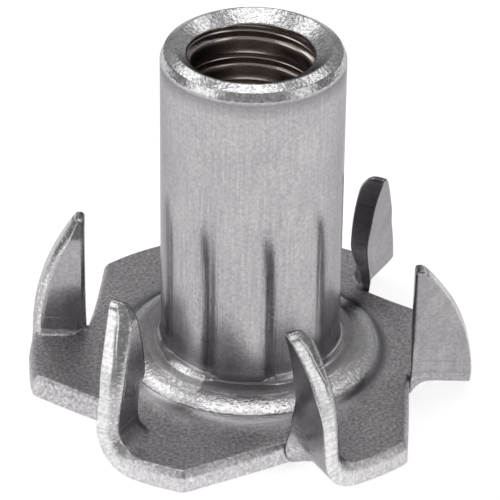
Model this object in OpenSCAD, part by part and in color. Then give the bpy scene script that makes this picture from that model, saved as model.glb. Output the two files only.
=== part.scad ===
// Tee nut: one piece of steel sheet, drawn up into a threaded barrel, with a round flange
// that is slit and bent up into a ring of hooked prongs.
// Millimetres. The origin is the centre of the flange's underside, and +Z runs up the barrel
// to its mouth.

/* [Sheet] */
// Thickness of the sheet
sheet_t = 1; // [0.7:0.05:1.2]

/* [Barrel] */
// Outside diameter of the barrel
barrel_d = 7.7; // [7.5:0.1:8.5]
// Height from the flange's underside to the barrel's rim
overall_h = 16; // [10:0.5:25]
// Diameter of the bore, which is the crest diameter of its thread
bore_d = 5.1; // [4.4:0.05:5.3]
// Width of the countersink round the barrel's mouth
mouth_w = 0.7; // [0.3:0.05:0.75]
// Slope of that countersink, in degrees
mouth_slope = 30; // [25:1:50]
// Rounding of the rim's outer edge
rim_r = 0.45; // [0.1:0.05:0.5]
// Rounding where the sheet turns up into the bore
entry_r = 1.4; // [0.6:0.1:1.6]

/* [Flutes] */
// Number of shallow draw marks round the lower barrel
flute_count = 10; // [3:1:12]
// Radius of a draw mark's section
flute_r = 0.35; // [0.25:0.05:1]
// Depth of the draw marks at the barrel's foot
flute_depth = 0.08; // [0.04:0.01:0.15]
// Height at which the draw marks run out
flute_top = 9.4; // [5:0.2:9.6]
// Angle of the first draw mark from the +X axis
flute_turn = 30; // [0:1:40]

/* [Boss] */
// Height of the boss round the barrel's foot, above the flange
boss_h = 0.85; // [0.4:0.05:1.1]
// Width of the level shelf between the barrel and the boss's slope
shelf_w = 0.6; // [0.55:0.05:0.9]
// Slope of the boss, in degrees
boss_slope = 27; // [20:1:33]
// Rounding between the barrel and the shelf
foot_r = 0.35; // [0.1:0.05:0.4]
// Rounding of the boss's shoulder
shoulder_r = 0.8; // [0.2:0.1:1]
// Rounding between the boss and the flat flange
toe_r = 2.4; // [0.5:0.1:3]

/* [Flange] */
// Diameter of the round blank
flange_d = 19.1; // [18.4:0.1:22]
// Rounding of the flange's free corners
corner_r = 0.4; // [0.1:0.05:0.6]

/* [Prongs] */
// Number of prongs
prong_count = 6; // [4:1:6]
// Height of the prongs' tips above the flange's underside
prong_h = 6.75; // [5:0.25:9]
// Flat left between the boss and the prongs' inner edges
prong_land = 0.2; // [0.05:0.05:0.4]
// Distance of the bend lines from the barrel's axis
bend_offset = 0.75; // [0.4:0.05:1]
// Inside radius of the bends
bend_r = 0.3; // [0.2:0.05:0.7]
// Slant of the slits from square with the bend lines, in degrees
slit_slant = 3.7; // [2:0.1:6]
// Set-in of the prongs' curved edge from the flange's rim
edge_step = 0.04; // [0.02:0.01:0.1]
// Rounding of the prongs' tips
tip_r = 0.22; // [0.12:0.02:0.3]
// Height at which the prongs start to curl outwards
curl_from = 3.2; // [2.4:0.1:4.6]
// Radius of that curl at the prongs' outer face
curl_r = 11; // [5:0.2:14]
// Width of the bevel along the tips' curved edge
bevel_w = 0.35; // [0.2:0.05:0.6]
// Share of the sheet's thickness that the bevel takes away
bevel_share = 0.65; // [0.3:0.05:0.8]
// Share of the curved edge, from the flange up, at which the bevel is as wide as stated
bevel_along = 0.85; // [0.7:0.05:0.95]

/* [Hidden] */
$fn = 96;
margin = 1;
arc_step = 6;
corner_step = 20;
barrel_r = barrel_d / 2;
bore_r = bore_d / 2;
flange_r = flange_d / 2;

// Heights and radii of the boss
shelf_z = sheet_t + boss_h;
shelf_r = barrel_r + shelf_w;
slope_end_r = shelf_r + boss_h / tan(boss_slope);
boss_r = slope_end_r + toe_r * tan(boss_slope / 2);

// The underside follows the boss at the sheet's thickness
dish_drop = sheet_t / cos(boss_slope);
dish_r = shelf_r + (shelf_z - dish_drop) / tan(boss_slope);
dish_z = shelf_z - dish_drop + (shelf_r - bore_r) * tan(boss_slope);

// Places along a prong's bend line, and across it
prong_in = boss_r + prong_land;
prong_out = sqrt(flange_r ^ 2 - bend_offset ^ 2) - edge_step;
bend_top = sheet_t + bend_r;
prong_back = bend_offset + bend_r + sheet_t;

// The prong's curved edge leaves the flange upright and runs into the rounded tip
tip_x = prong_in + tip_r;
tip_z = prong_h - tip_r;
tip_run = prong_out - tip_x;
edge_r = (tip_run ^ 2 + (tip_z - sheet_t) ^ 2 - tip_r ^ 2) / (2 * (tip_run - tip_r));
edge_x = prong_out - edge_r;
edge_turn = atan2(tip_z - sheet_t, tip_x - edge_x);

// The slit runs along the prong's inner edge, slants away behind the prong, and ends in a
// rounded corner
slit_meet = prong_back + sheet_t / 2;
slit_reach = prong_in * cos(slit_slant) + slit_meet * sin(slit_slant);
corner_turn = slit_slant + acos((slit_reach - corner_r) / (flange_r - corner_r));

// The bevel lies along the tip's curved edge
bevel_turn = edge_turn * bevel_along;
bevel_z = sheet_t + (edge_r - bevel_w) * sin(bevel_turn);
bevel_x = edge_x + (edge_r - bevel_w) * cos(bevel_turn);
bevel_y = bend_offset + bend_r + curl_shift(max(bevel_z - curl_from, 0));
bevel_angle = atan2(bevel_share * sheet_t, bevel_w);

// How far the curl has moved a prong's inner face, at a height above the curl's start
function curl_shift(rise) = curl_r + sheet_t - sqrt((curl_r + sheet_t) ^ 2 - rise ^ 2);

// Direction from one corner of an outline to the next
function heading(a, b) = [b[0] - a[0], b[1] - a[1]] / norm([b[0] - a[0], b[1] - a[1]]);

// Turn of an outline at corner b, between its neighbours a and c
function turn_at(a, b, c) =
    let (u = heading(a, b), v = heading(b, c))
    atan2(u[0] * v[1] - u[1] * v[0], u * v);

// Points of an arc, on the outside of its circle so that its chords touch the circle
function arc(centre, r, from, to, widest) =
    let (n = ceil(abs(to - from) / widest), step = (to - from) / n)
    [for (i = [0 : n - 1])
        let (angle = from + (i + 0.5) * step)
        centre + r / cos(step / 2) * [cos(angle), sin(angle)]];

// Points that round corner b of an outline, between its neighbours a and c
function fillet(a, b, c) =
    let (turn = turn_at(a, b, c),
         side = sign(turn),
         u = heading(a, b),
         start = [b[0], b[1]] - u * b[2] * tan(abs(turn) / 2),
         out = atan2(u[1], u[0]) - 90 * side)
    arc(start - side * b[2] * [u[1], -u[0]], b[2], out, out + turn, arc_step);

// Outline with rounded corners, each given as [x, y, fillet radius]
module rounded(corners) {
    n = len(corners);
    polygon([
        for (i = [0 : n - 1])
            each corners[i][2] > 0
                ? fillet(corners[(i + n - 1) % n], corners[i], corners[(i + 1) % n])
                : [[corners[i][0], corners[i][1]]]
    ]);
}

// Barrel, boss and whole round flange, as one turned section
module drawn_blank() {
    rotate_extrude()
        rounded([
            [dish_r, 0, toe_r],
            [flange_r, 0, 0],
            [flange_r, sheet_t, 0],
            [slope_end_r, sheet_t, toe_r],
            [shelf_r, shelf_z, shoulder_r],
            [barrel_r, shelf_z, foot_r],
            [barrel_r, overall_h, rim_r],
            [bore_r + mouth_w, overall_h, 0],
            [bore_r, overall_h - mouth_w * tan(mouth_slope), 0],
            [bore_r, dish_z, entry_r],
        ]);
}

// Shallow marks that the drawing punch leaves, deepest at the barrel's foot
module flutes() {
    foot = shelf_z + 2 * foot_r;
    run = flute_top - foot;
    for (i = [0 : flute_count - 1])
        rotate(flute_turn + i * 360 / flute_count)
            translate([barrel_r + flute_r, 0, flute_top])
                rotate([0, 180 + atan(flute_depth / run), 0])
                    translate([0, 0, -run]) cylinder(r = flute_r, h = 2 * run);
}

// Flat stretch of the flange that one prong is bent out of
module prong_gap() {
    far = flange_r + margin;
    centre = (flange_r - corner_r) * [cos(corner_turn), -sin(corner_turn)];
    translate([0, 0, -margin])
        linear_extrude(shelf_z + margin)
            polygon([
                [prong_in, -bend_offset],
                [prong_in, -slit_meet],
                each arc(centre, corner_r, -slit_slant, -corner_turn, corner_step),
                far * [cos(corner_turn), -sin(corner_turn)],
                [far, -far],
                [far, -bend_offset],
            ]);
}

// Section of a prong: x runs out from the bend line, y is height
module prong_section() {
    intersection() {
        translate([0, bend_top])
            difference() {
                circle(bend_r + sheet_t);
                circle(bend_r);
            }
        translate([0, -margin]) square([bend_top + margin, bend_top + margin]);
    }
    translate([bend_r, bend_top]) square([sheet_t, curl_from - bend_top]);
    intersection() {
        translate([bend_r + sheet_t + curl_r, curl_from])
            difference() {
                circle(curl_r + sheet_t);
                circle(curl_r);
            }
        translate([0, curl_from]) square([bend_r + sheet_t + curl_r, prong_h - curl_from + margin]);
    }
}

// Outline of a prong seen square on: straight inner edge, curved outer edge, rounded tip
module prong_outline() {
    intersection() {
        translate([edge_x, sheet_t]) circle(edge_r);
        polygon([
            [prong_in, -margin],
            [flange_r, -margin],
            [flange_r, prong_h],
            each arc([tip_x, tip_z], tip_r, edge_turn, 180, corner_step),
        ]);
    }
}

// One prong, at the +X side, on the clockwise side of its bend line
module prong() {
    difference() {
        intersection() {
            translate([flange_r, -bend_offset, 0])
                rotate([90, 0, -90]) linear_extrude(flange_r - prong_in + margin) prong_section();
            translate([0, margin - bend_offset, 0])
                rotate([90, 0, 0]) linear_extrude(prong_h) prong_outline();
        }
        translate([bevel_x, -bevel_y, bevel_z])
            rotate([0, -bevel_turn, 0])
                rotate([0, 0, -bevel_angle])
                    translate([-prong_h / 2, 0, -prong_h]) cube([prong_h, prong_h, 2 * prong_h]);
    }
}

// The whole nut
module tee_nut() {
    color("silver") {
        difference() {
            drawn_blank();
            flutes();
            for (i = [0 : prong_count - 1]) rotate(i * 360 / prong_count) prong_gap();
        }
        for (i = [0 : prong_count - 1]) rotate(i * 360 / prong_count) prong();
    }
}

tee_nut();
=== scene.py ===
"""Looks of the tee nut: one finely meshed sheet that follows the solid, with its thread, and a studio."""
import math
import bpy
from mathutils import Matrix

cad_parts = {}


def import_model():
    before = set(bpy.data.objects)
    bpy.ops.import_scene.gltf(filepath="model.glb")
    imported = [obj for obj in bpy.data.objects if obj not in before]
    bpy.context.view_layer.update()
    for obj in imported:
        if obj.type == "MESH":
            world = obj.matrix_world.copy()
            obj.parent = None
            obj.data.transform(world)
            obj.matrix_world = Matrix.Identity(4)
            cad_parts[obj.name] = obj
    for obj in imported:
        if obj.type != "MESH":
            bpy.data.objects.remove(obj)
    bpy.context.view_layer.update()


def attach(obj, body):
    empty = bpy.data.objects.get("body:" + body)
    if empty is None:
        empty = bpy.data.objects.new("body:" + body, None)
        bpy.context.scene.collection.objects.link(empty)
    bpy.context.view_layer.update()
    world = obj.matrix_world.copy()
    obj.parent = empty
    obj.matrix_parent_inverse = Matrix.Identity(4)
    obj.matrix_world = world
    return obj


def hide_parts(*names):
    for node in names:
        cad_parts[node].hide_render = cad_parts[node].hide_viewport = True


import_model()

from types import SimpleNamespace

import bmesh
import bpy
import numpy as np
from mathutils import Matrix, Vector
from mathutils.geometry import delaunay_2d_cdt

# One millimetre in metres. Lengths below are in millimetres unless they say otherwise.
MM = 0.001
TINY = 1e-6

# Sizes of the solid, with its angles in radians
SHEET_T = 1.0
BARREL_R = 3.85
HEIGHT = 16.0
BORE_R = 2.55
MOUTH_W = 0.7
MOUTH_SLOPE = math.radians(30)
ENTRY_R = 1.4
FLUTE_COUNT = 10
FLUTE_TOP = 9.4
FLUTE_TURN = math.radians(30)
BOSS_H = 0.85
SHELF_W = 0.6
BOSS_SLOPE = math.radians(27)
TOE_R = 2.4
FLANGE_R = 9.55
CORNER_R = 0.4
PRONG_COUNT = 6
PRONG_H = 6.75
PRONG_LAND = 0.2
BEND_OFFSET = 0.75
BEND_R = 0.3
SLIT_SLANT = math.radians(3.7)
EDGE_STEP = 0.04
TIP_R = 0.22
CURL_FROM = 3.2
CURL_R = 11.0
BEVEL_W = 0.35
BEVEL_SHARE = 0.65
BEVEL_ALONG = 0.85

# Thread in the bore: flank, root and phase are shares of the pitch
PITCH = 1.27
THREAD_DEPTH = 0.3
THREAD_FLANK = 0.14
THREAD_ROOT = 0.15
THREAD_PHASE = 0.773
THREAD_RUNOUT = 0.9

# Rim: a level land, a slope, and a steeper edge down to the wall, each with its own rounding
RIM_LAND_R = 3.29
LAND_ROUND = 0.08
RIM_SLOPE = math.radians(28)
RIM_EDGE_R = 3.69
RIM_EDGE_ROUND = 0.14
RIM_DROP = 0.56
RIM_ROUND = 0.3
MOUTH_ROUND = 0.06
WALL_TOP = 15.2

# Boss: the crown of its slope, the roundings of its toe and shoulder, and the ring where the flange joins
CROWN_H = 0.06
CROWN_R = 4.4
TOE_ROUND = 2.2
SHOULDER_ROUND = 1.0
TOE_JOIN = 0.08

# The fillet at the barrel's foot, panel by panel from the first draw mark on: width, height, flatness
# and the painted shade in the crease above it. Neighbours blend over a small turn.
FOOT_FILLETS = (
    (0.35, 0.35, 0, 0), (0.3, 0.3, 0, 0.3), (0.4, 0.5, 0.3, 0), (0.3, 0.3, 0, 0.3), (0.35, 0.4, 0, 0),
    (0.4, 0.28, 0.7, 0), (0.12, 0.1, 0, 0.9), (0.35, 0.4, 0.2, 0.3), (0.35, 0.4, 0, 0), (0.3, 0.35, 0, 0),
)
FOOT_BLEND = math.radians(5)

# Draw marks: depth, half of their width, the share of that half at which the steep side ends, the
# height over which they run out at the top, and how far they weaken towards the foot
FLUTE_DEPTH = 0.004
FLUTE_HALF = math.radians(2.7)
FLUTE_STEEP = 0.7
FLUTE_RUNOUT = 1.6
FLUTE_EASE = 0.45

# Cut edges: the rolled side's width, height and flatness, the burr on the other side, the larger roll
# and the inner edge's own roundings on the prongs, and the most that a roll takes of width and thickness
ROLL_W = 0.3
ROLL_H = 0.38
ROLL_FLAT = 0.3
BURR_R = 0.06
PRONG_ROLL_W = 0.42
PRONG_ROLL_H = 0.46
INNER_ROLL = 0.14
INNER_BURR = 0.09
ROLL_MOST_W = 0.4
ROLL_MOST_T = 0.7

# Distances from the bend line over which the flange's roll turns into the prong's, and over which the
# edge moves from the flange's rim to the prong's own curve
ROLL_FADE = 0.7
REACH_FADE = 1.6

# Prong tips: the rounding of the outer face, and the height and width of the roll on the inner face
TIP_ROUND = 0.2
TIP_ROLL = 0.85
TIP_ROLL_W = 0.6

# How each bend line turns to its slit's root, and how far the prong there is pulled along
ROOT_RISE = 1.0
ROOT_RUN = 0.9
ROOT_ROUND = 0.07
ROOT_PULL_OUT = 0.22
ROOT_PULL_IN = 0.58
ROOT_FADE = 1.7

# Hollow of the prongs' outer face above the bend
WAIST = 0.1
WAIST_Z = 3.0
WAIST_RISE = 1.4

# Each prong's own stand, counter-clockwise from +X: inner edge moved out, tip leaned out, faces set in,
# how far the bend's outside is eased to a slope, how strongly its inner face is lightened near the tip by
# a painted highlight, and how much larger its bend's radius is
PRONG_STANDS = (
    (0, 0, 0, 1.0, 0, 0), (0, 0.05, 0, 0.6, 0, 0), (0, 0, 0, 0, 0, 0),
    (0.28, 0, 0, 0, 0, 0), (0, 0, 0.1, 0, 0.6, 0.7), (0, -0.05, 0.12, 0, 0, 0.4),
)
# Height at which that painted highlight starts on the inner face, and over which it comes to full strength
INNER_HIGHLIGHT_Z = 1.6
INNER_HIGHLIGHT_RISE = 2.4

# Shine of sheared cuts, painted highlights and painted shade, as shares, with the height and half the
# width
# of those that lie round the axis: the cuts' shine along an edge's section from burr to roll and along the
# flange's rim; that shine along each slit, with painted light and shade set slit by slit; painted shade in
# the draw marks, at the foot's crease, on the boss's toe and under the rim; a painted highlight on its
# crown
EDGE_SHINE = np.array([0, 0.2, 0.6, 0.9, 1, 1, 1, 1, 1, 0.8, 0.5, 0.32, 0.28, 0.36, 0.5, 0.45, 0])
RIM_SHINE = 0.6
# Sheared shine of each slit's edge, with painted light and shade set slit by slit
SLIT_SHINES_AND_PAINTED_LIGHT = (0.45, 0.45, 0.45, 0.05, 0.45, 0.45)
# Painted shade in the draw marks
FLUTE_PAINTED_SHADE = 0.5
# Height and half width of the painted shade in the foot's crease
CREASE_Z = 0.06
CREASE_W = 0.12
# Painted shade on the boss's toe
TOE_PAINTED_SHADE = 0.95
TOE_SHADE_Z = 0.24
TOE_SHADE_W = 0.16
# Painted highlight on the boss's crown
CROWN_PAINTED_HIGHLIGHT = 0.75
CROWN_HIGHLIGHT_Z = 0.5
CROWN_HIGHLIGHT_W = 0.24
# Painted shade under the rim
RIM_PAINTED_SHADE = 0.85
RIM_SHADE_W = 0.65

# A painted highlight on one stretch of the foot: its strength, where round the axis it lies, and its
# height
GLINT = 0.95
GLINT_FROM = math.radians(214)
GLINT_TO = math.radians(244)
GLINT_RISE = math.radians(16)
GLINT_FALL = math.radians(3)
GLINT_Z = 0.02
GLINT_W = 0.16

# Patterns of the steel as (scale, detail, roughness) of a noise: the scale is per metre, or 1 where the
# place is stretched first, per metre of radius or height, millimetre of edge or radian of turn
GRAIN = (7000.0, 3.0, 0.65)
CLOUD = (420.0, 4.0, 0.55)
DENTS = (6500.0, 3.0, 0.6)
STREAKS = (1.0, 2.0, 0.5)
STRIPES = (1.0, 2.0, 0.6)
RINGS_BY_RADIUS = 9000.0
RINGS_BY_TURN = 6.0
DRAWN_BY_TURN = 45.0
DRAWN_BY_HEIGHT = 350.0
STRIPES_BY_RUN = 9.0
STRIPES_BY_HEIGHT = 2500.0

# Ranges of the noises that are spread over the values below
NOISE_SPAN = (0.3, 0.7)
DENT_SPAN = (0.35, 0.65)
SPECK_SPAN = (0.54, 0.62)

# Colours of the steel, and how far its patterns darken and lighten them
PLATE_TONES = ((0.3, (0.415, 0.4, 0.415, 1)), (0.7, (0.49, 0.472, 0.486, 1)))
SHEARED_TONES = ((0.35, (0.66, 0.65, 0.66, 1)), (0.65, (0.86, 0.85, 0.86, 1)))
# Dark tone for painted shade in the draw marks, the foot's crease, the boss's toe and under the rim, and
# for the prongs' darker inner edges
SHADE_AND_DARK_EDGE = (0.2, 0.19, 0.2, 1)
RIM_TONE = (0.6, 0.59, 0.6)
BORE_TONE = (0.5, 0.45, 0.43, 1)
GLANCE_TINT = (0.62, 0.62, 0.63, 1)
DRAWN_GRAIN = (0.82, 1.16)
FLANGE_GRAIN = (0.62, 1.8)
MARK_SHADES = (0.9, 1.08)
# Painted shade: the share of colour left on the prongs' faces
PRONG_PAINTED_SHADE = 0.84
SHEARED_PITS = (0.8, 1.12)
RIM_PITS = (0.74, 1.26)
SPECK_SHINE = 0.9

# Roughness of the drawn part, the flange, the shelf, and the polished rim and bore
DRAWN_ROUGH = (0.19, 0.26)
FLANGE_ROUGH = (0.36, 0.46)
SHELF_ROUGH = 0.5
POLISHED_ROUGH = 0.17

# Relief of the patterns, and the bump that it makes, with its depth in metres
GRAIN_RELIEF = 0.7
MARK_RELIEF = 0.5
RIM_RELIEF = 2.6
EDGE_RELIEF = 1.5
ROLLED_RELIEF = 2.4
BUMP_STRENGTH = 0.25
BUMP_DEPTH = 0.00003

# Where the finishes begin and end: heights over the shelf, flange or bore entry, depths below the top,
# radii in the bore, and shares of shine on a rolled edge
BARREL_BLEND = 0.4
FLANGE_BLEND = 0.25
SHELF_BAND = (-0.06, -0.02, 0, 0.03)
ENTRY_BLEND = 1.0
NECK_BLEND = 0.05
RIM_BAND = (0.7, 0.5)
BORE_STAIN_R = 3.2
BORE_STAIN_BLEND = 0.1
ROLL_FROM = 0.3
ROLL_TO = 0.5
ROLL_END = 0.66

# Studio: the hood's radius, its grey from the front over the top to the back, the share of that grey low
# down and the share of the radius where that ends, the floor's half side, its gap under the flange, its
# colour and how far it shines for what sees or mirrors it, and the light of the world past it
HOOD_R = 300
HOOD_GREYS = ((0.0, 0.4), (0.3, 0.3), (0.5, 0.24), (0.75, 0.3), (0.93, 0.43), (1.0, 0.34))
HOOD_LOW = 0.8
HOOD_LOW_TO = 0.45
HOOD_SEGMENTS = 48
HOOD_RINGS = 24
FLOOR_HALF = 600
FLOOR_GAP = 0.02
FLOOR_COLOUR = (0.86, 0.86, 0.86, 1)
FLOOR_GLOW = 0.62
WORLD_LIGHT = 0.35
WHITE = (1, 1, 1, 1)

# Lamps: name, place, aim, size, and power in watts
SOFTBOXES = (
    ("overhead", (-10, 4, 215), (-10, 4, 0), (150, 40), 0.048),
    ("left", (-150, 75, 205), (0, 0, 5), (130, 60), 0.05),
    ("right", (130, 85, 205), (0, 0, 5), (90, 60), 0.025),
    ("front left", (-168, -87, 92), (0, 0, 5), (140, 170), 0.08),
    ("front right", (168, -87, 92), (0, 0, 5), (100, 170), 0.043),
)

# The photograph's camera, fitted to the barrel and flange, with its focal length in pixels
CAMERA_PITCH = math.radians(32.29)
CAMERA_ROLL = math.radians(0.7051)
CAMERA_DISTANCE = 141.045
CAMERA_AIM = (-0.0474, 0.0, 6.0845)
CAMERA_FOCAL_PX = 3322.55
CAMERA_CLIP = 10
PHOTO_PX = 500
SENSOR_W = 36

# Fineness of the mesh: columns round the axis and how far they crowd at the draw marks, rows and points
# of each stretch, and the longest step along a straight one
TURN_STEPS = 288
COLUMN_PULL = 0.6
BORE_STEPS = 144
SPARE_TURNS = 3
MOUTH_ROWS = 12
CREST_ROWS = 4
FLANK_ROWS = 6
ROOT_ROWS = 2
WALL_ROWS = 34
WALL_CROWD = 1.5
FILLET_ROWS = 11
ARC_STEPS = 10
DISH_ARC_STEPS = 12
LINE_STEP = 0.5
RIM_LINE_STEP = 0.35
BURR_POINTS = 5
SHEARED_PLACES = (0.25, 0.5, 0.75)
ROLL_POINTS = 9
FLAT_COLUMNS = 14
BEND_ROWS = 15
FACE_ROWS = 40
TIP_ROWS = 12
TIP_SWEEP = math.radians(80)
RIM_POINTS = 26
CORNER_POINTS = 12
SLIT_POINTS = 20
ROOT_POINTS = 9

# Share of the rim over which its edge turns away from the bend line, and points over which the slit's
# edge sharpens towards its root
FACING_RUN = 0.25
SLIT_FADE = 16

# Chain of points inside the flange's flat: its distances from the bend line and the cut edge, how many
# points short of the root it stops, and how far its corner point is moved clear of the next one
GUIDE_BEND = 0.08
GUIDE_EDGE = 0.05
GUIDE_SHORT = 14
GUIDE_NUDGE = 0.02

# Points closer than this are welded
WELD = 2e-4

# Derived sizes
SHELF_Z = SHEET_T + BOSS_H
SHELF_R = BARREL_R + SHELF_W
SLOPE_END_R = SHELF_R + BOSS_H / math.tan(BOSS_SLOPE)
BOSS_R = SLOPE_END_R + TOE_R * math.tan(BOSS_SLOPE / 2)
DISH_DROP = SHEET_T / math.cos(BOSS_SLOPE)
DISH_R = SHELF_R + (SHELF_Z - DISH_DROP) / math.tan(BOSS_SLOPE)
DISH_Z = SHELF_Z - DISH_DROP + (SHELF_R - BORE_R) * math.tan(BOSS_SLOPE)
DISH_END_R = DISH_R + TOE_R * math.tan(BOSS_SLOPE / 2)
PRONG_IN = BOSS_R + PRONG_LAND
PRONG_OUT = math.sqrt(FLANGE_R ** 2 - BEND_OFFSET ** 2) - EDGE_STEP
BEND_TOP = SHEET_T + BEND_R
PRONG_BACK = BEND_OFFSET + BEND_R + SHEET_T
TIP_RUN = PRONG_OUT - PRONG_IN - TIP_R
TIP_RISE = PRONG_H - TIP_R - SHEET_T
EDGE_R = (TIP_RUN ** 2 + TIP_RISE ** 2 - TIP_R ** 2) / (2 * (TIP_RUN - TIP_R))
EDGE_X = PRONG_OUT - EDGE_R
EDGE_TURN = math.atan2(TIP_RISE, EDGE_R - TIP_RUN)
SLIT_MEET = PRONG_BACK + SHEET_T / 2
SLIT_REACH = PRONG_IN * math.cos(SLIT_SLANT) + SLIT_MEET * math.sin(SLIT_SLANT)
CORNER_TURN = SLIT_SLANT + math.acos((SLIT_REACH - CORNER_R) / (FLANGE_R - CORNER_R))
SECTOR = 2 * math.pi / PRONG_COUNT
NECK_Z = HEIGHT - MOUTH_W * math.tan(MOUTH_SLOPE)
ENTRY_END = DISH_Z + ENTRY_R * math.tan((math.pi / 2 - BOSS_SLOPE) / 2)
SEAM_TURN = -round(math.atan2(BEND_OFFSET + ROOT_RISE, PRONG_IN) / (2 * math.pi) * TURN_STEPS)


def smooth(x):
    """A soft step from 0 to 1 while x runs from 0 to 1."""
    x = np.clip(x, 0, 1)
    return x * x * (3 - 2 * x)


def turned(points, angle):
    """Points in the plane, or in space about the Z axis, turned by an angle."""
    points = np.asarray(points, float).copy()
    x, y = points[..., 0].copy(), points[..., 1].copy()
    points[..., 0] = math.cos(angle) * x - math.sin(angle) * y
    points[..., 1] = math.sin(angle) * x + math.cos(angle) * y
    return points


def rounded_path(corners, arc_steps, line_step):
    """A path through corners given as (x, y, radius), its first and last being plain ends."""
    points = [np.array(corners[0][:2], float)]

    def line_to(end):
        start = points[-1]
        count = max(1, math.ceil(np.linalg.norm(end - start) / line_step - TINY))
        for i in range(1, count + 1):
            points.append(start + (end - start) * i / count)

    for before, corner, after in zip(corners, corners[1:], corners[2:]):
        b = np.array(corner[:2], float)
        u = b - np.array(before[:2], float)
        u /= np.linalg.norm(u)
        v = np.array(after[:2], float) - b
        v /= np.linalg.norm(v)
        turn = math.atan2(u[0] * v[1] - u[1] * v[0], u @ v)
        side = math.copysign(1, turn)
        start = b - u * corner[2] * math.tan(abs(turn) / 2)
        centre = start + side * corner[2] * np.array([-u[1], u[0]])
        line_to(start)
        for i in range(1, arc_steps + 1):
            points.append(centre + turned(start - centre, turn * i / arc_steps))
    line_to(np.array(corners[-1][:2], float))
    return np.array(points)


def placed(name, data):
    """A new object of the scene, made of the given data."""
    piece = bpy.data.objects.new(name, data)
    bpy.context.scene.collection.objects.link(piece)
    return piece


class Builder:
    """Collects one mesh, with two values at each vertex.

    The first is its shine: 1 on a sheared cut, above 0 at painted highlights, 0 on the plate, and below 0
    at painted shade and on the prongs' darker inner edges. The second is its distance along a cut edge.
    """

    def __init__(self):
        self.points = []
        self.cut = []
        self.run = []
        self.faces = []
        self.count = 0

    def add(self, points, cut=0.0, run=0.0):
        """Adds vertices and gives the first one's number."""
        points = np.asarray(points, float).reshape(-1, 3)
        first = self.count
        self.points.append(points)
        self.cut.append(np.broadcast_to(np.asarray(cut, float).reshape(-1), (len(points),)))
        self.run.append(np.broadcast_to(np.asarray(run, float).reshape(-1), (len(points),)))
        self.count += len(points)
        return first

    def grid(self, points, closed, cut=0.0, run=0.0, flip=False):
        """Adds rows of points as a net of quads; closed joins each row's end to its start."""
        rows, columns = points.shape[:2]
        first = self.add(points, np.broadcast_to(np.asarray(cut, float), (rows, columns)),
                         np.broadcast_to(np.asarray(run, float), (rows, columns)))
        for i in range(rows - 1):
            for j in range(columns if closed else columns - 1):
                k = (j + 1) % columns
                a = first + i * columns + j
                b = first + i * columns + k
                quad = (a, b, b + columns, a + columns)
                self.faces.append(quad[::-1] if flip else quad)
        return first

    def flat(self, outline, guide, z, flip):
        """Fills a level outline with triangles; the guide is a chain of points inside it."""
        n = len(outline)
        points = [Vector(p) for p in outline] + [Vector(p) for p in guide]
        edges = [(i, (i + 1) % n) for i in range(n)]
        edges += [(n + i, n + i + 1) for i in range(len(guide) - 1)]
        inside_only = 1
        corners, _, triangles, *_ = delaunay_2d_cdt(points, edges, [], inside_only, TINY)
        first = self.add([(p.x, p.y, z) for p in corners])
        for face in triangles:
            face = tuple(first + i for i in face)
            self.faces.append(face[::-1] if flip else face)

    def object(self, name):
        """The whole mesh as an object, welded and smooth."""
        mesh = bpy.data.meshes.new(name)
        mesh.from_pydata((np.concatenate(self.points) * MM).tolist(), [], self.faces)
        for key, values in (("cut", self.cut), ("run", self.run)):
            mesh.attributes.new(key, "FLOAT", "POINT").data.foreach_set("value", np.concatenate(values))
        work = bmesh.new()
        work.from_mesh(mesh)
        bmesh.ops.remove_doubles(work, verts=work.verts, dist=WELD * MM)
        bmesh.ops.recalc_face_normals(work, faces=work.faces)
        work.to_mesh(mesh)
        work.free()
        mesh.validate()
        mesh.polygons.foreach_set("use_smooth", [True] * len(mesh.polygons))
        return placed(name, mesh)


def column_turns(steps):
    """Angles of mesh columns round the axis, given by their numbers, closer together at the draw marks."""
    even = np.asarray(steps) * 2 * math.pi / TURN_STEPS
    return even - COLUMN_PULL * np.sin(FLUTE_COUNT * (even - FLUTE_TURN)) / FLUTE_COUNT


def revolve(path, angles):
    """Points of a path of (radius, height), turned about the axis through each angle."""
    r, z = path[:, 0][:, None], path[:, 1][:, None]
    return np.stack([r * np.cos(angles), r * np.sin(angles), z + 0 * angles], -1)


def flute_form(angle, z):
    """Share of the draw marks' depth at places on the barrel: steep on one side, running out upwards."""
    step = 2 * math.pi / FLUTE_COUNT
    across = ((angle - FLUTE_TURN + step / 2) % step - step / 2) / FLUTE_HALF
    steep = smooth((across + 1) / FLUTE_STEEP)
    gentle = 1 - smooth((across + 1 - FLUTE_STEEP) / (2 - FLUTE_STEEP))
    below = FLUTE_TOP - z
    fade = smooth(below / FLUTE_RUNOUT) * (1 - FLUTE_EASE * smooth(below / (FLUTE_TOP - SHELF_Z)))
    return steep * gentle * fade


def foot_fillet(angle):
    """Width, height, flatness and painted crease shade of the fillet at the barrel's foot at an angle
    round the axis.
    """
    step = 2 * math.pi / FLUTE_COUNT
    place = (angle - FLUTE_TURN) % (2 * math.pi) / step
    panel = int(place)
    into = (place - panel) * step
    entering = float(smooth(into / FOOT_BLEND))
    leaving = float(smooth((into - step) / FOOT_BLEND + 1))
    share = 0.5 + 0.5 * entering - 0.5 * leaving
    side = -1 if into < step / 2 else 1
    here = np.array(FOOT_FILLETS[panel % FLUTE_COUNT])
    other = np.array(FOOT_FILLETS[(panel + side) % FLUTE_COUNT])
    return other + (here - other) * share


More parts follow.
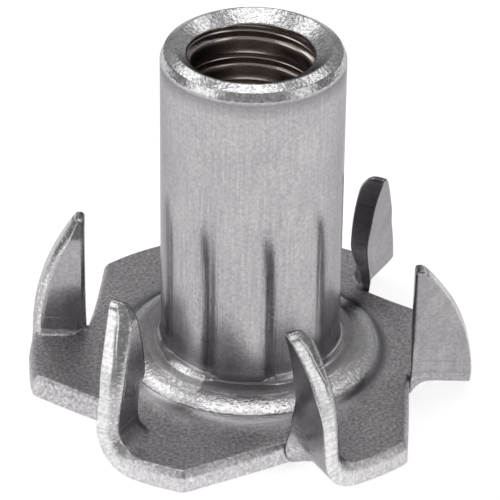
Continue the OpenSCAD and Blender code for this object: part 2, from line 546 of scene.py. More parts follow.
def outside_path(foot_w, foot_h, foot_flat):
    """Section of the drawn part's outside: toe, slope, shoulder, shelf, foot, wall, rim and mouth edge."""
    mouth_r = BORE_R + MOUTH_W
    edge = MOUTH_ROUND * math.tan(MOUTH_SLOPE / 2)
    boss = rounded_path([
        (BOSS_R + TOE_JOIN, SHEET_T, 0),
        (SLOPE_END_R, SHEET_T, TOE_ROUND),
        ((SHELF_R + SLOPE_END_R) / 2 + CROWN_H * math.sin(BOSS_SLOPE),
         SHEET_T + BOSS_H / 2 + CROWN_H * math.cos(BOSS_SLOPE), CROWN_R),
        (SHELF_R, SHELF_Z, SHOULDER_ROUND),
        (BARREL_R + foot_w, SHELF_Z, 0),
    ], ARC_STEPS, LINE_STEP)
    turn = np.linspace(0, math.pi / 2, FILLET_ROWS)[1:]
    part = turn / turn[-1]
    inward = (1 - foot_flat) * np.sin(turn) + foot_flat * part
    upward = (1 - foot_flat) * (1 - np.cos(turn)) + foot_flat * part
    fillet = np.stack([BARREL_R + foot_w * (1 - inward), SHELF_Z + foot_h * upward], -1)
    crowded = np.linspace(0, 1, WALL_ROWS)[1:] ** WALL_CROWD
    heights = SHELF_Z + foot_h + (WALL_TOP - SHELF_Z - foot_h) * crowded
    wall = np.stack([BARREL_R + 0 * heights, heights], -1)
    rim = rounded_path([
        (BARREL_R, WALL_TOP, 0),
        (BARREL_R, HEIGHT - RIM_DROP, RIM_ROUND),
        (RIM_EDGE_R, HEIGHT - (RIM_EDGE_R - RIM_LAND_R) * math.tan(RIM_SLOPE), RIM_EDGE_ROUND),
        (RIM_LAND_R, HEIGHT, LAND_ROUND),
        (mouth_r, HEIGHT, MOUTH_ROUND),
        (mouth_r - edge * math.cos(MOUTH_SLOPE), HEIGHT - edge * math.sin(MOUTH_SLOPE), 0),
    ], ARC_STEPS, RIM_LINE_STEP)[1:]
    return np.concatenate([boss, fillet, wall, rim])


def drawn_painted_light(angle, z, form, crease_shade):
    """Painted highlight and painted shade up one column of the drawn part, given the draw marks' form
    there.
    """
    crease = 1 - smooth(np.abs(z - SHELF_Z - CREASE_Z) / CREASE_W)
    toe = 1 - smooth(np.abs(z - SHEET_T - TOE_SHADE_Z) / TOE_SHADE_W)
    brow = 1 - smooth((HEIGHT - RIM_DROP - z) / RIM_SHADE_W)
    crown = 1 - smooth(np.abs(z - SHEET_T - CROWN_HIGHLIGHT_Z) / CROWN_HIGHLIGHT_W)
    glint = 1 - smooth(np.abs(z - SHELF_Z - GLINT_Z) / GLINT_W)
    glint *= GLINT * smooth((angle - GLINT_FROM) / GLINT_RISE) * smooth((GLINT_TO - angle) / GLINT_FALL)
    # Painted shade in the draw marks, the foot's crease, the boss's toe and under the rim
    dark = np.max([FLUTE_PAINTED_SHADE * form, crease_shade * crease, TOE_PAINTED_SHADE * toe, RIM_PAINTED_SHADE * brow], axis=0)
    # Painted highlights on the crown and on one stretch of the foot
    return np.maximum(CROWN_PAINTED_HIGHLIGHT * crown, glint) - dark * (1 - glint)


def barrel_and_boss(builder):
    """Outside of the drawn part, whose foot and draw marks change round the axis."""
    columns, painted_light_rows = [], []
    for angle in column_turns(range(TURN_STEPS)):
        *foot, crease_shade = foot_fillet(angle)
        path = outside_path(*foot)
        z = path[:, 1]
        form = flute_form(angle, z) * (z > SHELF_Z)
        path[:, 0] -= FLUTE_DEPTH * form
        columns.append(revolve(path, np.array([angle]))[:, 0])
        painted_light_rows.append(drawn_painted_light(angle, z, form, crease_shade))
    builder.grid(np.stack(columns, 1), True, np.stack(painted_light_rows, 1), flip=True)


def thread_section():
    """One pitch of the thread, from the middle of a groove's root up, as shares of the pitch and depth."""
    root = [(f * THREAD_ROOT / 2, 1) for f in np.linspace(0, 1, ROOT_ROWS)]
    down = [(THREAD_ROOT / 2 + f * THREAD_FLANK, 1 - f) for f in np.linspace(0, 1, FLANK_ROWS)[1:]]
    low = THREAD_ROOT / 2 + THREAD_FLANK
    crest = [(low + f * (1 - 2 * low), 0) for f in np.linspace(0, 1, CREST_ROWS)[1:]]
    up = [(1 - place, depth) for place, depth in (root + down)[-2:0:-1]]
    return root + down + crest + up


def bore(builder):
    """Threaded wall from the mouth's countersink down to where the sheet turns out into the dish."""
    angles = np.linspace(0, 2 * math.pi, BORE_STEPS + 1)
    top = HEIGHT - MOUTH_ROUND * math.tan(MOUTH_SLOPE / 2) * math.sin(MOUTH_SLOPE)
    places, depths = np.array(thread_section()).T
    turns = np.arange(math.ceil(HEIGHT / PITCH), math.floor(ENTRY_END / PITCH) - SPARE_TURNS, -1)
    rows = (turns[:, None] + places[::-1]).reshape(-1, 1)
    z = np.clip((rows + 0.5 - THREAD_PHASE + angles / (2 * math.pi)) * PITCH, ENTRY_END, NECK_Z)
    z = np.concatenate([np.linspace(top, NECK_Z, MOUTH_ROWS)[:-1, None] + 0 * angles, z])
    share = z / PITCH - angles / (2 * math.pi) - 0.5 + THREAD_PHASE
    depth = THREAD_DEPTH * np.interp(share, places, depths, period=1)
    wall = BORE_R + depth * smooth((z - ENTRY_END) / THREAD_RUNOUT)
    countersink = BORE_R + (z - NECK_Z) / math.tan(MOUTH_SLOPE)
    r = np.maximum(wall, countersink)
    builder.grid(np.stack([r * np.cos(angles), r * np.sin(angles), z], -1), False)
    path = rounded_path([
        (BORE_R, ENTRY_END, 0),
        (BORE_R, DISH_Z, ENTRY_R),
        (DISH_R, 0, TOE_R),
        (DISH_END_R + TOE_JOIN, 0, 0),
    ], DISH_ARC_STEPS, LINE_STEP)
    builder.grid(revolve(path, column_turns(range(TURN_STEPS))), True, flip=True)


def edge_profile(roll_w, roll_h, burr, thick, flatness):
    """Section of a sheet's edge as (inset, height) points, from the burr side to the rolled side."""
    low = np.linspace(0, math.pi / 2, BURR_POINTS)
    top = np.linspace(0, math.pi / 2, ROLL_POINTS)
    points = [(burr * (1 - math.sin(a)), burr * (1 - math.cos(a))) for a in low]
    points += [(0, burr + (thick - roll_h - burr) * f) for f in SHEARED_PLACES]
    for a in top:
        part = a / (math.pi / 2)
        inset = (1 - flatness) * (1 - math.cos(a)) + flatness * part
        height = (1 - flatness) * math.sin(a) + flatness * part
        points.append((roll_w * inset, thick - roll_h + roll_h * height))
    return np.array(points)


RIM_PROFILE = edge_profile(ROLL_W, ROLL_H, BURR_R, SHEET_T, ROLL_FLAT)
SHARP_PROFILE = edge_profile(0, 0, 0, SHEET_T, 0)


class Prong:
    """One prong's outline: its inner edge, its rounded tip, and the bend line that ends at its slit.

    A place on it is s, out from the axis along the bend line, d, across that line, and z.
    """

    def __init__(self, outset, lean, set_in, ease, inner_highlight, soft):
        self.s_in = PRONG_IN + outset
        self.lean = lean
        self.set_in = set_in
        self.ease = ease
        self.inner_highlight = inner_highlight
        self.bend_offset = BEND_OFFSET - soft
        self.bend_r = BEND_R + soft
        self.bend_top = SHEET_T + self.bend_r
        self.rim_reach = math.sqrt(FLANGE_R ** 2 - self.bend_offset ** 2)
        self.root_rise = ROOT_RISE + soft
        self.pull_out = ROOT_PULL_OUT * ROOT_RISE / self.root_rise
        self.pull_in = ROOT_PULL_IN * ROOT_RISE / self.root_rise
        self.tip_x = self.s_in + TIP_R
        self.tip_z = SHEET_T + math.sqrt((EDGE_R - TIP_R) ** 2 - (self.tip_x - EDGE_X) ** 2)
        self.top = self.tip_z + TIP_R

    def limits(self, z):
        """Inner and outer edge at a height."""
        edge = EDGE_X + math.sqrt(EDGE_R ** 2 - (z - SHEET_T) ** 2)
        if z <= self.tip_z:
            return self.s_in, edge
        half = math.sqrt(max(TIP_R ** 2 - (z - self.tip_z) ** 2, 0))
        return self.tip_x - half, min(edge, self.tip_x + half)

    def bend_rise(self, s):
        """How far the bend line has turned towards the slit's root at a place along it."""
        return self.root_rise * np.clip((self.s_in + ROOT_RUN - s) / ROOT_RUN, 0, 1) ** 2

    def root(self):
        """The slit's root, seen from above in the prong's own frame."""
        return np.array([self.s_in, -BEND_OFFSET - ROOT_RISE])

    def bend_row(self, a):
        """Outer and inner face (d, z) at an angle of the bend, and the root's pull on each."""
        outer, inner = self.bend_r + SHEET_T, self.bend_r
        part = a / (math.pi / 2)
        back = float(smooth(part))
        slope_d = (part - math.sin(a)) * self.ease * outer
        slope_z = (part - 1 + math.cos(a)) * self.ease * outer
        outer_d = self.bend_offset + outer * math.sin(a) + slope_d - (WAIST + self.set_in) * back
        outer_z = self.bend_top - outer * math.cos(a) + slope_z
        inner_d = self.bend_offset + inner * math.sin(a) - self.set_in * back
        inner_z = self.bend_top - inner * math.cos(a)
        return ((outer_d, outer_z), (inner_d, inner_z),
                1 - (1 - self.pull_out) * part, 1 - (1 - self.pull_in) * part)

    def face_row(self, z):
        """The same at a height above the bend."""
        rise = max(z - CURL_FROM, 0)
        sway = self.lean * float(smooth((z - BEND_TOP) / (PRONG_H - BEND_TOP))) - self.set_in
        outer = PRONG_BACK + sway + CURL_R - math.sqrt(CURL_R ** 2 - rise ** 2)
        inner = PRONG_BACK + sway + CURL_R - math.sqrt((CURL_R + SHEET_T) ** 2 - rise ** 2)
        outer -= WAIST * (1 - float(smooth((z - WAIST_Z) / WAIST_RISE)))
        outer -= corner_trim(z, self.top, TIP_ROUND, TIP_ROUND)
        inner += corner_trim(z, self.top, TIP_ROLL, TIP_ROLL_W)
        fade = 1 - float(smooth((z - self.bend_top) / ROOT_FADE))
        return (outer, z), (inner, z), self.pull_out * fade, self.pull_in * fade

    def rows(self):
        """Rows from the bend line to the tip."""
        bend = [self.bend_row(a) for a in np.linspace(0, math.pi / 2, BEND_ROWS)]
        heights = list(np.linspace(self.bend_top, self.tip_z, FACE_ROWS)[1:])
        heights += list(self.tip_z + TIP_R * np.sin(np.linspace(0, TIP_SWEEP, TIP_ROWS)[1:]))
        return bend + [self.face_row(z) for z in heights]


def corner_trim(z, top, drop, width):
    """How far a rounded corner takes a face back at a height, near the top."""
    over = min(max(z - (top - drop), 0) / drop, 1)
    return width * (1 - math.sqrt(1 - over ** 2))


def bevel_at(z):
    """Width of the bevel along a prong's curved edge at a height."""
    turn = math.asin(min((z - SHEET_T) / EDGE_R, 1)) if z > SHEET_T else 0
    return max(BEVEL_W - EDGE_R * (1 - math.cos(turn - EDGE_TURN * BEVEL_ALONG)), 0)


def flat_columns(start, end):
    """Places between a prong's rolled edges, across its faces."""
    return np.linspace(start, end, FLAT_COLUMNS + 1)[1:-1]


def prong_ring(shape, outer, inner, pull_out, pull_in):
    """One closed section of a prong, as points (s, d, z), and the shine of each."""
    outer, inner = np.array(outer), np.array(inner)
    mid_z = (outer[1] + inner[1]) / 2
    s_in, s_out = shape.limits(mid_z)
    lift = math.hypot(outer[0] - shape.bend_offset, outer[1])
    s_out += (shape.rim_reach - shape.limits(SHEET_T / 2)[1]) * (1 - smooth(lift / REACH_FADE))
    fade = float(smooth(lift / ROLL_FADE))
    thick = float(np.linalg.norm(inner - outer))
    bevel = bevel_at(mid_z)
    most = ROLL_MOST_W * (s_out - s_in)
    own_w = ROLL_W + (PRONG_ROLL_W - ROLL_W) * fade
    own_h = ROLL_H + (PRONG_ROLL_H - ROLL_H) * fade
    roll_w = min(max(own_w, bevel), most)
    roll_h = min(max(own_h, bevel * BEVEL_SHARE * SHEET_T / BEVEL_W), ROLL_MOST_T * thick)
    far = edge_profile(roll_w, roll_h, min(BURR_R, most), thick, ROLL_FLAT)
    near = edge_profile(min(INNER_ROLL, most) * fade, INNER_ROLL * fade,
                        min(INNER_BURR, most) * fade, thick, 0)
    # Painted highlight on the inner face near the tip
    inner_highlight = shape.inner_highlight * float(smooth((mid_z - INNER_HIGHLIGHT_Z) / INNER_HIGHLIGHT_RISE))
    points, cut = [], []

    def put(s, height, shine):
        share = height / thick
        place = outer + (inner - outer) * share
        pull = pull_out + (pull_in - pull_out) * share
        points.append((s, place[0] + float(shape.bend_rise(s)) * pull, place[1]))
        cut.append(shine)

    for (inset, height), shine in zip(far, EDGE_SHINE):
        put(s_out - inset, height, shine)
    for s in flat_columns(s_out - far[-1][0], s_in + near[-1][0]):
        put(s, thick, inner_highlight)
    # The inner edge, darkened by the same shares
    for (inset, height), shine in zip(near[::-1], EDGE_SHINE[::-1]):
        put(s_in + inset, height, -shine)
    for s in flat_columns(s_in + near[0][0], s_out - far[0][0]):
        put(s, 0, 0)
    return points, cut


def prong(builder, shape, angle):
    """One prong, closed at its tip."""
    rings, cuts = [], []
    for row in shape.rows():
        points, cut = prong_ring(shape, *row)
        rings.append(points)
        cuts.append(cut)
    local = np.array(rings)
    run = np.linalg.norm(np.diff(local[:, 0], axis=0), axis=1)
    run = np.concatenate([[0], np.cumsum(run)])
    points = turned(np.stack([local[..., 0], -local[..., 1], local[..., 2]], -1), angle)
    first = builder.grid(points, True, np.array(cuts), run[:, None], flip=True)
    rows, columns = points.shape[:2]
    last = first + (rows - 1) * columns
    builder.faces.append(tuple(range(last, last + columns))[::-1])


def slit_edge(corner, shape):
    """The slit's flange side in its prong's frame, from the rounded corner to the root: points, facing."""
    centre = shape.root() - [0, ROOT_ROUND]
    chord = centre - [ROOT_ROUND, 0] - corner
    end_slant = 2 * math.atan2(chord[0], chord[1]) - SLIT_SLANT
    meet = centre - ROOT_ROUND * np.array([math.cos(end_slant), -math.sin(end_slant)])
    middle = corner + np.array([math.sin(SLIT_SLANT), math.cos(SLIT_SLANT)]) * np.linalg.norm(chord) / 2
    points, facing = [], []
    for f in np.linspace(0, 1, SLIT_POINTS)[1:]:
        points.append((1 - f) ** 2 * corner + 2 * f * (1 - f) * middle + f ** 2 * meet)
        facing.append(-SLIT_SLANT - (end_slant - SLIT_SLANT) * f)
    for f in np.linspace(0, 1, ROOT_POINTS)[1:]:
        a = -end_slant - (math.pi / 2 - end_slant) * f
        points.append(centre - ROOT_ROUND * np.array([math.cos(a), math.sin(a)]))
        facing.append(a)
    return points, facing


def free_edge(shape, next_shape, slit_shine_and_light):
    """The flange's edge from one bend line to the next prong: points, outward angles, fade, and shine,
    which along the slit carries painted light and shade.
    """
    start = -math.asin(shape.bend_offset / FLANGE_R)
    end = SECTOR - CORNER_TURN
    points, facing, fade = [], [], []
    for f in np.linspace(0, 1, RIM_POINTS):
        a = start + (end - start) * f
        points.append((FLANGE_R * math.cos(a), FLANGE_R * math.sin(a)))
        facing.append(a * float(smooth(f / FACING_RUN)))
        fade.append(1)
    centre = (FLANGE_R - CORNER_R) * np.array([math.cos(end), math.sin(end)])
    slit_facing = SECTOR - SLIT_SLANT
    for f in np.linspace(0, 1, CORNER_POINTS)[1:]:
        a = end + (slit_facing - end) * f
        points.append(tuple(centre + CORNER_R * np.array([math.cos(a), math.sin(a)])))
        facing.append(a)
        fade.append(1)
    slit, slit_facings = slit_edge(turned(np.array(points[-1]), -SECTOR), next_shape)
    shine = [RIM_SHINE] * len(points) + [slit_shine_and_light] * len(slit)
    for i, (point, out) in enumerate(zip(slit, slit_facings)):
        points.append(tuple(turned(point, SECTOR)))
        facing.append(out + SECTOR)
        fade.append(float(smooth((len(slit) - 1 - i) / SLIT_FADE)))
    return np.array(points), np.array(facing), np.array(fade), np.array(shine)


def flange_sector(builder, index):
    """Flat of the flange between two prongs: both faces and the cut edge."""
    angle = index * SECTOR
    shape = PRONGS[index]
    next_shape = PRONGS[(index + 1) % PRONG_COUNT]
    points, facing, fade, shine = free_edge(shape, next_shape, SLIT_SHINES_AND_PAINTED_LIGHT[index])
    outward = np.stack([np.cos(facing), np.sin(facing)], -1)
    net = []
    for point, out, f in zip(points, outward, fade):
        section = SHARP_PROFILE + (RIM_PROFILE - SHARP_PROFILE) * f
        level = np.array([point - out * inset for inset, _ in section])
        net.append(np.column_stack([level, section[:, 1]]))
    net = np.array(net)
    run = np.concatenate([[0], np.cumsum(np.linalg.norm(np.diff(points, axis=0), axis=1))])
    builder.grid(turned(net, angle), False, EDGE_SHINE * shine[:, None], run[:, None])
    per_sector = TURN_STEPS // PRONG_COUNT
    turns = column_turns(SEAM_TURN + index * per_sector + np.arange(per_sector + 1)) - angle
    for side, z, ring_r, flip in ((-1, SHEET_T, BOSS_R + TOE_JOIN, False),
                                  (0, 0.0, DISH_END_R + TOE_JOIN, True)):
        ring = np.stack([ring_r * np.cos(turns), ring_r * np.sin(turns)], -1)
        bend_s = flat_columns(shape.rim_reach - RIM_PROFILE[side][0], shape.s_in)[::-1]
        bend_s = np.concatenate([[shape.s_in], bend_s])
        bend = np.stack([bend_s, -shape.bend_offset - shape.bend_rise(bend_s)], -1)
        edge = net[:, side, :2]
        outline = np.concatenate([bend, edge, ring[::-1]])
        guide_bend = bend[2:] + [0, GUIDE_BEND]
        guide_edge = edge - outward * (GUIDE_EDGE * fade[:, None])
        guide = np.concatenate([guide_bend, guide_edge[1:-GUIDE_SHORT]])
        guide[len(guide_bend) - 1, 0] -= GUIDE_NUDGE
        builder.flat(turned(outline, angle), turned(guide, angle), z, flip)


PRONGS = [Prong(*stand) for stand in PRONG_STANDS]


def tee_nut():
    """The whole nut as one mesh."""
    builder = Builder()
    barrel_and_boss(builder)
    bore(builder)
    for i, shape in enumerate(PRONGS):
        prong(builder, shape, i * SECTOR)
        flange_sector(builder, i)
    return builder.object("tee_nut_sheet")


class Nodes:
    """A node tree, emptied, with a short call for each kind of node used here.

    A value given to a node is a number, a colour or another node's socket.
    """

    def __init__(self, tree):
        self.tree = tree
        tree.nodes.clear()

    def add(self, kind, values=None, **settings):
        """A new node with its settings and the values of its inputs."""
        node = self.tree.nodes.new(kind)
        for key, value in settings.items():
            setattr(node, key, value)
        for key, value in (values or {}).items():
            socket = node.inputs[key]
            if isinstance(value, bpy.types.NodeSocket):
                self.tree.links.new(value, socket)
            else:
                socket.default_value = value
        return node

    def math(self, operation, a, b):
        return self.add("ShaderNodeMath", {0: a, 1: b}, operation=operation).outputs["Value"]

    def times(self, a, b):
        return self.math("MULTIPLY", a, b)

    def plus(self, a, b):
        return self.math("ADD", a, b)

    def larger(self, a, b):
        return self.math("MAXIMUM", a, b)

    def vector(self, x, y):
        return self.add("ShaderNodeCombineXYZ", {"X": x, "Y": y}).outputs["Vector"]

    def noise(self, vector, scale, detail, rough):
        values = {"Vector": vector, "Scale": scale, "Detail": detail, "Roughness": rough}
        return self.add("ShaderNodeTexNoise", values).outputs["Fac"]

    def spread(self, value, start, end, low=0.0, high=1.0):
        """Low where the value is at its start or before it, high at its end or past it, even between."""
        values = {"Value": value, "From Min": start, "From Max": end, "To Min": low, "To Max": high}
        return self.add("ShaderNodeMapRange", values).outputs["Result"]

    def mix(self, factor, a, b):
        """A number between two."""
        values = {"Factor": factor, "A": a, "B": b}
        return self.add("ShaderNodeMix", values, data_type="FLOAT").outputs["Result"]

    def tint(self, factor, a, b):
        """A colour between two."""
        values = {"Factor": factor, "A": a, "B": b}
        return self.add("ShaderNodeMix", values, data_type="RGBA").outputs["Result"]

    def scaled(self, colour, factor):
        """A colour made darker or lighter."""
        values = {0: colour, "Scale": factor}
        return self.add("ShaderNodeVectorMath", values, operation="SCALE").outputs["Vector"]

    def ramp(self, value, stops):
        """A colour by a value, between stops given as (value, colour)."""
        node = self.add("ShaderNodeValToRGB", {"Fac": value})
        elements = node.color_ramp.elements
        elements[0].position = stops[0][0]
        elements[1].position = stops[-1][0]
        for place, _ in stops[1:-1]:
            elements.new(place)
        for element, (_, colour) in zip(elements, stops):
            element.color = colour
        return node.outputs["Color"]


def node_material(name):
    """An empty node material and its nodes."""
    material = bpy.data.materials.new(name)
    material.use_nodes = True
    return material, Nodes(material.node_tree)


def steel_place(nodes):
    """Sockets that say where a point of the steel is, and which finishes it has there."""
    at = SimpleNamespace()
    at.place = nodes.add("ShaderNodeTexCoord").outputs["Object"]
    # Shine of sheared cuts, which also carries painted highlights above 0 and painted shade below 0
    at.cut = nodes.add("ShaderNodeAttribute", attribute_name="cut").outputs["Fac"]
    at.run = nodes.add("ShaderNodeAttribute", attribute_name="run").outputs["Fac"]
    axes = nodes.add("ShaderNodeSeparateXYZ", {"Vector": at.place}).outputs
    at.z = axes["Z"]
    level = nodes.vector(axes["X"], axes["Y"])
    at.radius = nodes.add("ShaderNodeVectorMath", {0: level}, operation="LENGTH").outputs["Value"]
    at.turn = nodes.math("ARCTAN2", axes["Y"], axes["X"])

    def above(start, end):
        """0 at one height and 1 at another."""
        return nodes.spread(at.z, start * MM, end * MM)

    def beyond(start, end):
        """0 at one radius and 1 at another."""
        return nodes.spread(at.radius, start * MM, end * MM)

    at.on_barrel = above(SHELF_Z, SHELF_Z + BARREL_BLEND)
    at.on_flange = above(SHEET_T + FLANGE_BLEND, SHEET_T)
    at.on_prong = nodes.times(beyond(BOSS_R, PRONG_IN), above(SHEET_T, BEND_TOP))
    shelf = [SHELF_Z + step for step in SHELF_BAND]
    at.on_shelf = nodes.times(above(*shelf[:2]), above(shelf[3], shelf[2]))
    at.inside = nodes.times(beyond(BORE_STAIN_R + BORE_STAIN_BLEND, BORE_STAIN_R),
                            above(ENTRY_END, ENTRY_END + ENTRY_BLEND))
    at.in_bore = nodes.times(at.inside, above(NECK_Z, NECK_Z - NECK_BLEND))
    at.on_rim = nodes.times(above(HEIGHT - RIM_BAND[0], HEIGHT - RIM_BAND[1]),
                            nodes.spread(at.in_bore, 1.0, 0.0))
    shiny = nodes.spread(at.cut, 0.0, ROLL_FROM)
    at.on_edge = nodes.times(shiny, nodes.spread(at.cut, ROLL_END, ROLL_TO))
    # Rolled edges, and the painted highlights on the drawn part
    at.rolled = nodes.larger(at.on_edge, nodes.times(shiny, beyond(PRONG_IN, BOSS_R)))
    return at


def steel_patterns(nodes, at):
    """Adds the sockets of the steel's patterns: grain, clouds, dents, drawing marks, stripes on cuts."""
    at.grain = nodes.noise(at.place, *GRAIN)
    at.cloud = nodes.noise(at.place, *CLOUD)
    at.dents = nodes.noise(at.place, *DENTS)
    ringed = nodes.vector(nodes.times(at.radius, RINGS_BY_RADIUS), nodes.times(at.turn, RINGS_BY_TURN))
    drawn = nodes.vector(nodes.times(at.turn, DRAWN_BY_TURN), nodes.times(at.z, DRAWN_BY_HEIGHT))
    at.marks = nodes.mix(at.on_barrel, nodes.noise(ringed, *STREAKS), nodes.noise(drawn, *STREAKS))
    across = nodes.vector(nodes.times(at.run, STRIPES_BY_RUN), nodes.times(at.z, STRIPES_BY_HEIGHT))
    at.stripes = nodes.noise(across, *STRIPES)


def steel_colour(nodes, at):
    """Colour of the plate with painted shade on the prongs, then of its cuts and painted highlights,
    painted shade and darker prong edges, rim and bore over it.
    """
    coarse = nodes.mix(at.on_flange, nodes.spread(at.grain, *NOISE_SPAN, *DRAWN_GRAIN),
                       nodes.spread(at.grain, *NOISE_SPAN, *FLANGE_GRAIN))
    # Random flecks, with painted shade on the prongs
    fleck_and_prong_shade = nodes.times(nodes.times(coarse, nodes.spread(at.marks, *NOISE_SPAN, *MARK_SHADES)),
                        nodes.spread(at.on_prong, 0.0, 1.0, 1.0, PRONG_PAINTED_SHADE))
    plate = nodes.scaled(nodes.ramp(at.cloud, PLATE_TONES), fleck_and_prong_shade)
    pitted = nodes.scaled(nodes.ramp(at.stripes, SHEARED_TONES),
                          nodes.spread(at.dents, *DENT_SPAN, *SHEARED_PITS))
    # Bright specks on rolled edges, and sparkle in the painted highlights of the drawn part
    specks = nodes.times(at.rolled, nodes.spread(at.dents, *SPECK_SPAN, 0.0, SPECK_SHINE))
    clean = nodes.tint(nodes.larger(nodes.spread(at.cut, 0.0, 1.0), specks), plate, pitted)
    # Painted shade, and the prongs' darker inner edges, where the shine is below 0
    shaded_and_edged = nodes.tint(nodes.spread(at.cut, 0.0, -1.0), clean, SHADE_AND_DARK_EDGE)
    bright = nodes.scaled(RIM_TONE, nodes.spread(at.dents, *DENT_SPAN, *RIM_PITS))
    burnished = nodes.tint(at.on_rim, shaded_and_edged, bright)
    return nodes.tint(at.in_bore, burnished, BORE_TONE)


def steel_roughness(nodes, at):
    """Roughness: cloudy on the drawn part and the flange, dull on the shelf, polished at rim and bore."""
    matt = nodes.mix(at.on_flange, nodes.spread(at.cloud, *NOISE_SPAN, *DRAWN_ROUGH),
                     nodes.spread(at.cloud, *NOISE_SPAN, *FLANGE_ROUGH))
    dull = nodes.mix(at.on_shelf, matt, SHELF_ROUGH)
    return nodes.mix(nodes.larger(at.on_rim, at.inside), dull, POLISHED_ROUGH)


def steel_bump(nodes, at):
    """Bump of the grain, the drawing marks and the stripes, and of the dents on rim, edges and crown."""
    fine = nodes.plus(nodes.times(at.grain, GRAIN_RELIEF), nodes.times(at.marks, MARK_RELIEF))
    edges = nodes.plus(nodes.times(at.on_edge, EDGE_RELIEF), nodes.times(at.rolled, ROLLED_RELIEF))
    dented = nodes.times(at.dents, nodes.plus(nodes.times(at.on_rim, RIM_RELIEF), edges))
    relief = nodes.plus(fine, nodes.plus(nodes.times(at.stripes, at.cut), dented))
    values = {"Height": relief, "Strength": BUMP_STRENGTH, "Distance": BUMP_DEPTH}
    return nodes.add("ShaderNodeBump", values).outputs["Normal"]


def steel_material():
    """Bright plated steel sheet: fine grain, drawn streaks, striped cut edges, a stained bore."""
    material, nodes = node_material("plated_steel")
    at = steel_place(nodes)
    steel_patterns(nodes, at)
    shader = nodes.add("ShaderNodeBsdfPrincipled", {
        "Base Color": steel_colour(nodes, at),
        "Metallic": 1.0,
        "Roughness": steel_roughness(nodes, at),
        "Specular Tint": GLANCE_TINT,
        "Normal": steel_bump(nodes, at),
    })
    nodes.add("ShaderNodeOutputMaterial", {"Surface": shader.outputs["BSDF"]})
    return material


def seen(nodes):
    """1 for what looks straight at a surface, mirrors it or looks through to it, else 0."""
    path = nodes.add("ShaderNodeLightPath").outputs
    mirrored = nodes.larger(path["Is Glossy Ray"], path["Is Transmission Ray"])
    return nodes.larger(path["Is Camera Ray"], mirrored)


def floor():
    """Pale floor under the flange, clear from below: a glow for what sees it, and the shadow on it."""
    half, z = FLOOR_HALF * MM, -FLOOR_GAP * MM
    mesh = bpy.data.meshes.new("floor")
    mesh.from_pydata([(-half, -half, z), (half, -half, z), (half, half, z), (-half, half, z)], [],
                     [(0, 1, 2, 3)])
    piece = placed("floor", mesh)
    material, nodes = node_material("pale_floor")
    lit = nodes.add("ShaderNodeBsdfDiffuse", {"Color": FLOOR_COLOUR}).outputs["BSDF"]
    glow = nodes.add("ShaderNodeEmission", {"Color": WHITE, "Strength": FLOOR_GLOW}).outputs["Emission"]
    shown = nodes.add("ShaderNodeMixShader", {0: seen(nodes), 2: glow}).outputs["Shader"]
    both = nodes.add("ShaderNodeAddShader", {0: lit, 1: shown}).outputs["Shader"]
    below = nodes.add("ShaderNodeNewGeometry").outputs["Backfacing"]
    clear = nodes.add("ShaderNodeBsdfTransparent").outputs["BSDF"]
    sided = nodes.add("ShaderNodeMixShader", {0: below, 1: both, 2: clear}).outputs["Shader"]
    nodes.add("ShaderNodeOutputMaterial", {"Surface": sided})
    mesh.materials.append(material)


def hood():
    """Grey studio hood over the floor, which the metal mirrors and the camera looks through."""
    work = bmesh.new()
    bmesh.ops.create_uvsphere(work, u_segments=HOOD_SEGMENTS, v_segments=HOOD_RINGS, radius=HOOD_R * MM)
    mesh = bpy.data.meshes.new("hood")
    work.to_mesh(mesh)
    work.free()
    piece = placed("hood", mesh)
    piece.visible_camera = False
    piece.visible_shadow = False
    material, nodes = node_material("hood_cloth")
    place = nodes.add("ShaderNodeTexCoord").outputs["Object"]
    axes = nodes.add("ShaderNodeSeparateXYZ", {"Vector": place}).outputs
    depth = nodes.spread(axes["Y"], -HOOD_R * MM, HOOD_R * MM)
    shade = nodes.ramp(depth, [(spot, (grey, grey, grey, 1)) for spot, grey in HOOD_GREYS])
    high = nodes.spread(axes["Z"], 0.0, HOOD_LOW_TO * HOOD_R * MM, HOOD_LOW, 1.0)
    glow = nodes.add("ShaderNodeEmission", {"Color": shade, "Strength": high}).outputs["Emission"]
    nodes.add("ShaderNodeOutputMaterial", {"Surface": glow})
    mesh.materials.append(material)


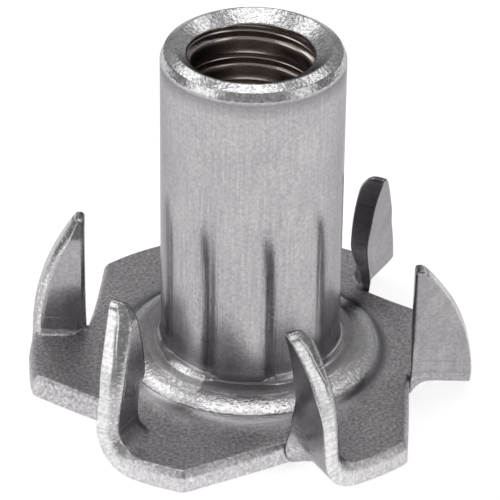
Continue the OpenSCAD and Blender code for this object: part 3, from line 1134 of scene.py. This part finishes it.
def softbox(name, place, aim, size, power):
    """A rectangular studio lamp at a place, pointed at aim."""
    lamp = bpy.data.lights.new(name, "AREA")
    lamp.shape = "RECTANGLE"
    lamp.size, lamp.size_y = size[0] * MM, size[1] * MM
    lamp.energy = power
    piece = placed(name, lamp)
    piece.location = Vector(place) * MM
    piece.rotation_euler = (Vector(aim) - Vector(place)).to_track_quat("-Z", "Y").to_euler()


def world():
    """White all round for what looks past the floor, and a dimmer light on the rest."""
    studio = bpy.data.worlds.new("studio")
    bpy.context.scene.world = studio
    studio.use_nodes = True
    nodes = Nodes(studio.node_tree)
    dim = nodes.add("ShaderNodeBackground", {"Color": WHITE, "Strength": WORLD_LIGHT})
    white = nodes.add("ShaderNodeBackground", {"Color": WHITE, "Strength": 1.0})
    shown = nodes.add("ShaderNodeMixShader", {0: seen(nodes), 1: dim.outputs["Background"],
                                              2: white.outputs["Background"]})
    nodes.add("ShaderNodeOutputWorld", {"Surface": shown.outputs["Shader"]})


def camera():
    """The camera at the photograph's view."""
    forward = Vector((0, math.cos(CAMERA_PITCH), -math.sin(CAMERA_PITCH)))
    right = Vector((1, 0, 0))
    up = right.cross(forward)
    right, up = (math.cos(CAMERA_ROLL) * right + math.sin(CAMERA_ROLL) * up,
                 math.cos(CAMERA_ROLL) * up - math.sin(CAMERA_ROLL) * right)
    data = bpy.data.cameras.new("photo_camera")
    data.sensor_width = SENSOR_W
    data.lens = CAMERA_FOCAL_PX / PHOTO_PX * SENSOR_W
    data.clip_start = CAMERA_CLIP * MM
    piece = placed("photo_camera", data)
    place = (Vector(CAMERA_AIM) - forward * CAMERA_DISTANCE) * MM
    turn = Matrix((right, up, -forward)).transposed().to_4x4()
    piece.matrix_world = Matrix.Translation(place) @ turn
    bpy.context.scene.camera = piece


nut = tee_nut()
nut.data.materials.append(steel_material())
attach(nut, "root")
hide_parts("tee_nut")
floor()
hood()
world()
for lamp in SOFTBOXES:
    softbox(*lamp)
camera()
bpy.context.scene.view_settings.view_transform = "Standard"
